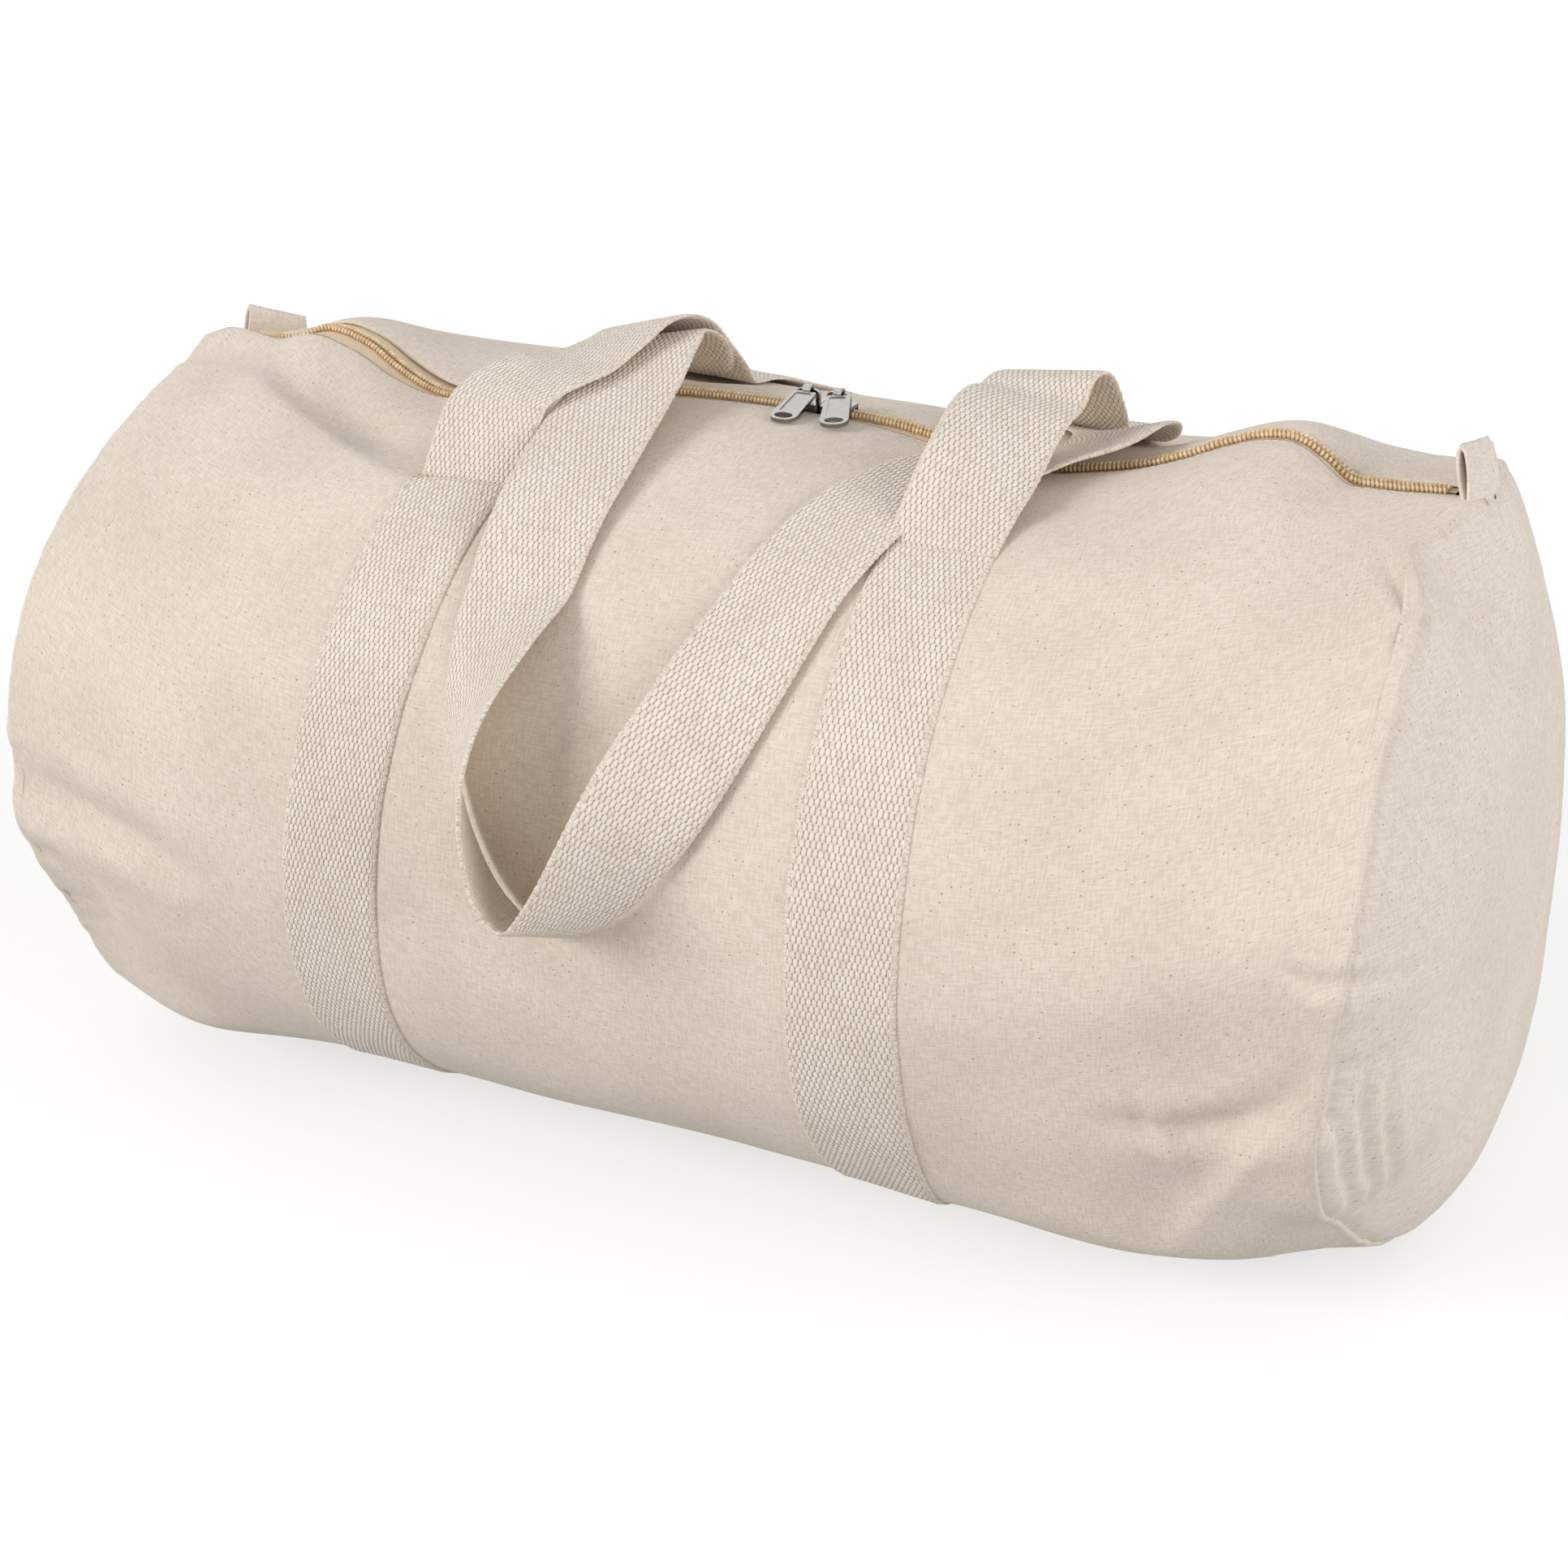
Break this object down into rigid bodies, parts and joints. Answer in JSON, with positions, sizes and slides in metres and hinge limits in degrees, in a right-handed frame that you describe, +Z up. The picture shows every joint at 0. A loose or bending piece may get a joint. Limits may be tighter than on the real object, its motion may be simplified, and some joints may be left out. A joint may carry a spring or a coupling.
{
  "type": "duffel bag",
  "caption": "Barrel duffel bag in natural cotton canvas with a two-way zip along the top, sewn webbing bands, carrying handles and end tab loops.",
  "frame": {"origin": "on the floor, under the middle of the bag", "axes": "+X along the bag to its right end, -Y to its front, +Z up"},
  "size_m": [0.5162, 0.3964, 0.298],
  "materials": {
    "canvas": "matte",
    "webbing": "matte",
    "binding_tape": "matte",
    "thread": "matte",
    "zip_tape": "matte",
    "nylon_coil": "satin",
    "slider_metal": "polished"
  },
  "bodies": {
    "bag": {"main_panel": "canvas", "left_end_panel": "canvas", "right_end_panel": "canvas", "left_seam_binding": "binding_tape", "right_seam_binding": "binding_tape", "left_tab_loop": "canvas", "right_tab_loop": "canvas", "left_band": "webbing", "right_band": "webbing", "left_band_stitching": "thread", "right_band_stitching": "thread", "handle_base_stitching": "thread", "zip_tape_front": "zip_tape", "zip_tape_back": "zip_tape", "zip_coil_front": "nylon_coil", "zip_coil_back": "nylon_coil", "zip_topstitching": "thread"},
    "front_handle": {"front_handle": "webbing"},
    "back_handle": {"back_handle": "webbing"},
    "left_slider": {"left_slider_body": "slider_metal"},
    "right_slider": {"right_slider_body": "slider_metal"},
    "left_pull": {"left_pull": "slider_metal"},
    "right_pull": {"right_pull": "slider_metal"}
  },
  "joints": [
    {"name": "front_handle_lift", "type": "hinge", "parent": "bag", "child": "front_handle", "pos_m": [0, -0.08507, 0.25674], "axis": [1, 0, 0], "range_deg": [0, 95], "deforming": ["front_handle"]},
    {"name": "back_handle_lift", "type": "hinge", "parent": "bag", "child": "back_handle", "pos_m": [0, 0.08507, 0.25674], "axis": [-1, 0, 0], "range_deg": [0, 95], "deforming": ["back_handle"]},
    {"name": "left_slider_travel", "type": "slide", "parent": "bag", "child": "left_slider", "axis": [-1, 0, 0], "range_m": [0, 0.22615]},
    {"name": "right_slider_travel", "type": "slide", "parent": "bag", "child": "right_slider", "axis": [1, 0, 0], "range_m": [0, 0.19015]},
    {"name": "left_pull_flip", "type": "hinge", "parent": "left_slider", "child": "left_pull", "pos_m": [0.01215, 0, 0.27105], "axis": [-1, 0, 0], "range_deg": [0, 160]},
    {"name": "right_pull_flip", "type": "hinge", "parent": "right_slider", "child": "right_pull", "pos_m": [0.02385, 0, 0.27105], "axis": [-1, 0, 0], "range_deg": [0, 160]}
  ]
}
